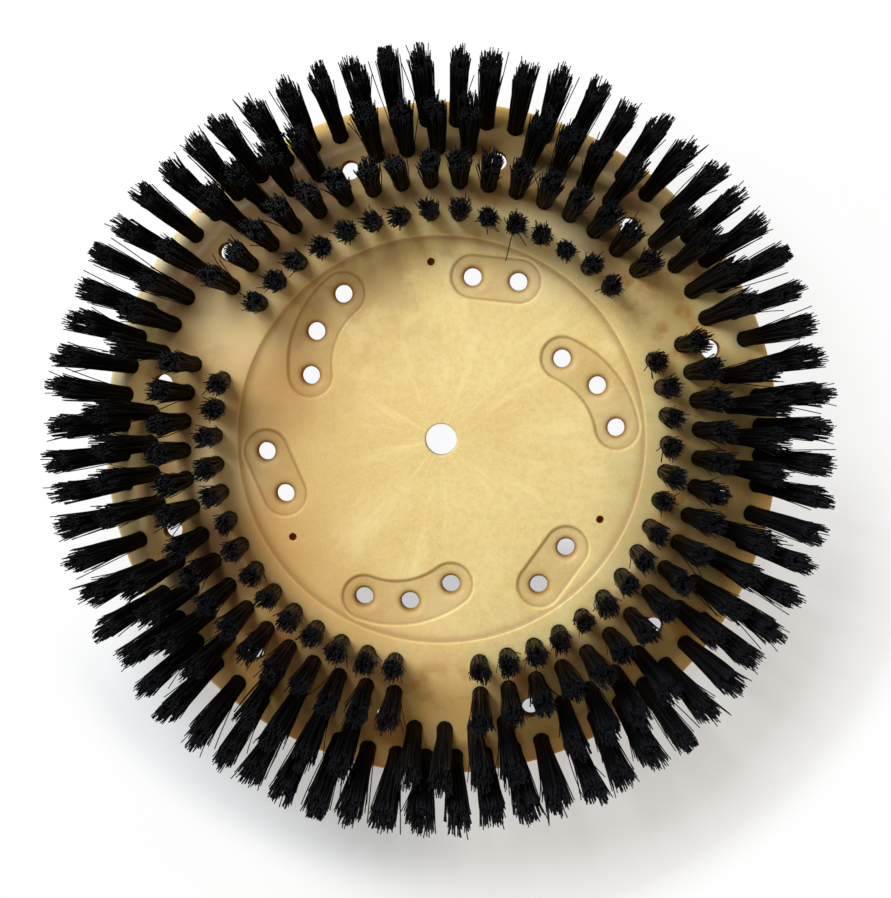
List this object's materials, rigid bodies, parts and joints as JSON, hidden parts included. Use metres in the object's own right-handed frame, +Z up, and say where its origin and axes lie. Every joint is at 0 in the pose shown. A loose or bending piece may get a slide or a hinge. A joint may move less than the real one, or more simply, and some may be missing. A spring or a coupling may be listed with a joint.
{
  "type": "carpet shampoo brush",
  "caption": "Round moulded brush block with rings of outward-leaning bristle tufts, clutch plate bolt holes and shampoo feed holes.",
  "frame": {"origin": "centre of the block's back, on the surface that the brush lies on", "axes": "+Z up through the bristles, +X to the picture's right and +Y to its top"},
  "size_m": [0.3892, 0.3892, 0.0571],
  "materials": {
    "block_plastic": "moulded, satin, faintly marbled",
    "bristle": "black crimped filament, satin"
  },
  "bodies": {
    "root": {"brush_block": "block_plastic", "inner_row_bristles_01": "bristle", "inner_row_bristles_02": "bristle", "inner_row_bristles_03": "bristle", "inner_row_bristles_04": "bristle", "inner_row_bristles_05": "bristle", "inner_row_bristles_06": "bristle", "inner_row_bristles_07": "bristle", "inner_row_bristles_08": "bristle", "inner_row_bristles_09": "bristle", "second_row_bristles_01": "bristle", "second_row_bristles_02": "bristle", "second_row_bristles_03": "bristle", "second_row_bristles_04": "bristle", "second_row_bristles_05": "bristle", "second_row_bristles_06": "bristle", "second_row_bristles_07": "bristle", "second_row_bristles_08": "bristle", "second_row_bristles_09": "bristle", "third_row_bristles_01": "bristle", "third_row_bristles_02": "bristle", "third_row_bristles_03": "bristle", "third_row_bristles_04": "bristle", "third_row_bristles_05": "bristle", "third_row_bristles_06": "bristle", "third_row_bristles_07": "bristle", "third_row_bristles_08": "bristle", "third_row_bristles_09": "bristle", "third_row_bristles_10": "bristle", "third_row_bristles_11": "bristle", "third_row_bristles_12": "bristle", "outer_row_bristles_01": "bristle", "outer_row_bristles_02": "bristle", "outer_row_bristles_03": "bristle", "outer_row_bristles_04": "bristle", "outer_row_bristles_05": "bristle", "outer_row_bristles_06": "bristle", "outer_row_bristles_07": "bristle", "outer_row_bristles_08": "bristle", "outer_row_bristles_09": "bristle", "outer_row_bristles_10": "bristle", "outer_row_bristles_11": "bristle", "outer_row_bristles_12": "bristle", "outer_row_bristles_13": "bristle", "outer_row_bristles_14": "bristle", "outer_row_bristles_15": "bristle", "outer_row_bristles_16": "bristle", "outer_row_bristles_17": "bristle"}
  },
  "joints": []
}
